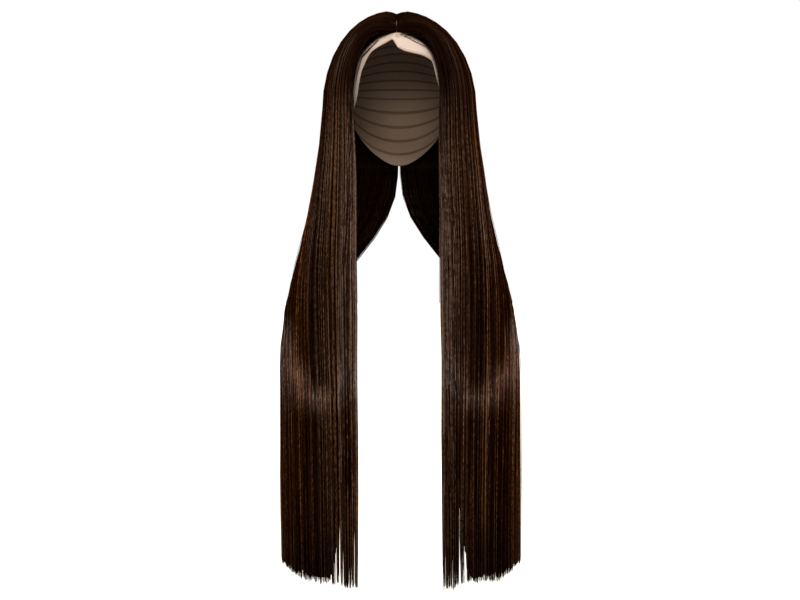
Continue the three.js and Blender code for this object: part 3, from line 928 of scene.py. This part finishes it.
cap_net, tree, shader, colour = net_material("cap net", CAP_NET, net_threads)
split = add(tree, "SeparateXYZ", {"Vector": strand_map(tree)})
from_weft = maths(tree, "PINGPONG", split.outputs["Y"], WEFT_SPACING / 2)
weft = remap(tree, from_weft, (WEFT_WIDTH / 2, 0.9), (WEFT_WIDTH, 0), "SMOOTHSTEP")
feed(shader, {"Base Color": mix(tree, weft, colour, WEFT_TINT, "MULTIPLY")})
print("cells a metre:", LACE["cells"], "in the lace,", CAP_NET["cells"], "in the net")

# %% Make the two panels
PANELS = [
    {"node": "lace_front", "front": True, "columns": 181, "rows": 60, "material": lace, "slot": "lace"},
    {"node": "cap", "front": False, "columns": 121, "rows": 60, "material": cap_net, "slot": "cap_net"},
]
for made in PANELS:
    outer, inner, cloth, values = panel(made["front"], made["columns"], made["rows"])
    name = made["node"] + "_cloth"
    shape = wall(outer, inner, cloth, values)
    piece = new_piece(name, made["node"], shape, made["material"])

# %% [markdown]
# ## Baby hairs
# Along the hairline, fine hairs lie on the lace in front of the long ones and soften the edge.
# A few lie together in small bundles that sweep along the hairline; the others are short and stand alone.
# Each follows a stretch of the hairline and is pushed from it towards the face.

# %% Make the baby hairs
BABY_POINTS = 9
SHORT_HAIRS = 45
HAIRS_IN_BUNDLE = 4
# The stretch of the hairline that each bundle follows, as ways from part to temple,
# and how far onto the lace it lies at its start, middle and end, in mm.
BUNDLE_COLUMNS = "start end onto_start onto_middle onto_end"
BUNDLES = {
    1: table(BUNDLE_COLUMNS, [(0.12, 0.66, 5.5, 9, 2), (0.3, 0.8, 1, 3, 0.5)]),
    -1: table(BUNDLE_COLUMNS, [(0.4, 0.93, 5, 12, 5), (0.52, 0.97, 7, 10.5, 4.5)]),
}


def baby_hairs(side, order, chance):
    """Tubes on the lace: a stretch of the hairline pushed towards the face by a parabola through the
    push at its start, middle and end, laid on the lace and its folds, and lifted a little by sin(pi u).
    Bundled hairs share these values but for a little spread; short hairs have their own."""
    rows = {name: np.repeat(column, HAIRS_IN_BUNDLE) for name, column in BUNDLES[side].items()}
    bundled = len(rows["start"])
    count = bundled + SHORT_HAIRS
    begin = chance.uniform(0.04, 0.84, count)
    finish = begin + chance.uniform(0.04, 0.14, count)
    onto = chance.uniform([[-1], [0], [0]], [[1], [2], [3]], (3, count))
    begin[:bundled] = rows["start"] + chance.uniform(-0.03, 0.03, bundled)
    finish[:bundled] = rows["end"] + chance.uniform(-0.03, 0.02, bundled)
    spread = chance.normal(0, 0.22, bundled)
    onto[:, :bundled] = np.stack([rows["onto_start"], rows["onto_middle"], rows["onto_end"]]) + spread
    part = np.linspace(0, 1, BABY_POINTS)[None, :]
    way = lerp(begin[:, None], finish[:, None], part)
    first, middle, last = onto[..., None]
    push = first * (1 - part) * (1 - 2 * part) + middle * 4 * part * (1 - part) + last * part * (2 * part - 1)
    line = hairline_point(way, side, np.zeros((2, 1, 1)), 0)
    faceward = unit(np.cross(np.gradient(line, axis=1), unit(line - HEAD_MIDDLE)))
    away = line + faceward * push[..., None] - HEAD_MIDDLE
    across = np.degrees(np.arcsin(away[..., 0] / HEAD["half_width"]))
    over = np.degrees(np.arctan2(away[..., 2] / HEAD["crown_rise"], -away[..., 1] / HEAD["half_length"]))
    clear = ON_BASE + chance.uniform(0, 0.6, (count, 1)) * np.sin(np.pi * part)
    lines = base_point(across, over, clear + fold_lift(side * across, over))
    radius = chance.uniform(0.17, 0.26, (count, 1)) * (1 - 0.6 * part**2)
    tone = chance.uniform(0.5, 0.85, (count, 1))
    places = np.stack(np.broadcast_arrays(tone, part), axis=-1)
    number = order * count + np.arange(count)
    values = {"wisp": number[:, None] * 1.7, "warmth": 0.0, "sheen": 0.1}
    return on_side(tubes(lines, radius, unit(lines - HEAD_MIDDLE), places, values), side)


both_sides = enumerate((1, -1))
babies = [baby_hairs(side, order, np.random.default_rng(40 + side)) for order, side in both_sides]
new_piece("baby_hair", None, join(babies), hair)

# %% [markdown]
# ## Floor, light and camera
# The picture has a white ground and soft light from in front.
# The floor is pale and far below, so that the hem hangs free.
# Three broad suns stand in front and above, and light the hair softly.
# Two warm suns stand to the sides, a little behind, and light the outer edges.
# The world looks white to the camera but lights the hair only a little, so that dark hair stays dark.
# The camera stands level with the middle of the curtains, and its angle is the picture's.

# %% Floor and light
FLOOR_Z = -1.0
FLOOR_REACH = 400.0
NEUTRAL = (1, 0.98, 0.96)
WARM = (1, 0.82, 0.62)
WORLD_LIGHT = 0.25

floor_mesh = bpy.data.meshes.new("floor")
ground = [(x * FLOOR_REACH, y * FLOOR_REACH, FLOOR_Z) for x, y in ((-1, -1), (1, -1), (1, 1), (-1, 1))]
floor_mesh.from_pydata(ground, [], [(0, 1, 2, 3)])
floor = bpy.data.objects.new("floor", floor_mesh)
bpy.context.scene.collection.objects.link(floor)
pale, tree, shader = new_material("pale floor")
feed(shader, {"Base Color": (0.93, 0.93, 0.94, 1), "Roughness": 0.9})
feed(shader, {"Emission Color": WHITE, "Emission Strength": 0.1})
floor_mesh.materials.append(pale)
floor.visible_glossy = False
floor.visible_diffuse = False


def sun(name, azimuth, elevation, strength, width, colour):
    """A sun from a direction in degrees: azimuth 0 is the camera's side, 90 is +X; width is its softness."""
    light = bpy.data.lights.new(name, "SUN")
    light.energy = strength
    light.angle = np.radians(width)
    light.color = colour
    lamp = bpy.data.objects.new(name, light)
    lamp.rotation_euler = (np.radians(90 - elevation), 0, np.radians(azimuth))
    bpy.context.scene.collection.objects.link(lamp)


sun("key", 7, 44, 2.5, 22, NEUTRAL)
sun("front", -4, 14, 0.8, 24, NEUTRAL)
sun("top", 10, 75, 1.2, 40, (1, 1, 1))
sun("back left", -120, 28, 2.8, 30, WARM)
sun("back right", 120, 28, 2.8, 30, WARM)

world = bpy.data.worlds.new("studio")
bpy.context.scene.world = world
world.use_nodes = True
tree = world.node_tree
tree.nodes.clear()
lit = add(tree, "Background", {"Color": WHITE, "Strength": WORLD_LIGHT})
seen = add(tree, "Background", {"Color": WHITE, "Strength": 1.0})
rays = add(tree, "LightPath")
sources = (rays.outputs["Is Camera Ray"], lit.outputs["Background"], seen.outputs["Background"])
both = add(tree, "MixShader", dict(enumerate(sources)))
add(tree, "OutputWorld", {"Surface": both.outputs["Shader"]})
bpy.context.scene.view_settings.view_transform = "Standard"

# %% Camera
CAMERA_PLACE = (0.001, -2.4, -0.368)
camera_data = bpy.data.cameras.new("camera")
camera_data.sensor_width = 36
camera_data.lens = 81.8
camera_data.clip_end = 1000
camera = bpy.data.objects.new("camera", camera_data)
camera.location = CAMERA_PLACE
camera.rotation_euler = (np.pi / 2, 0, 0)
bpy.context.scene.collection.objects.link(camera)
bpy.context.scene.camera = camera
print("the camera stands at", CAMERA_PLACE, "metres")
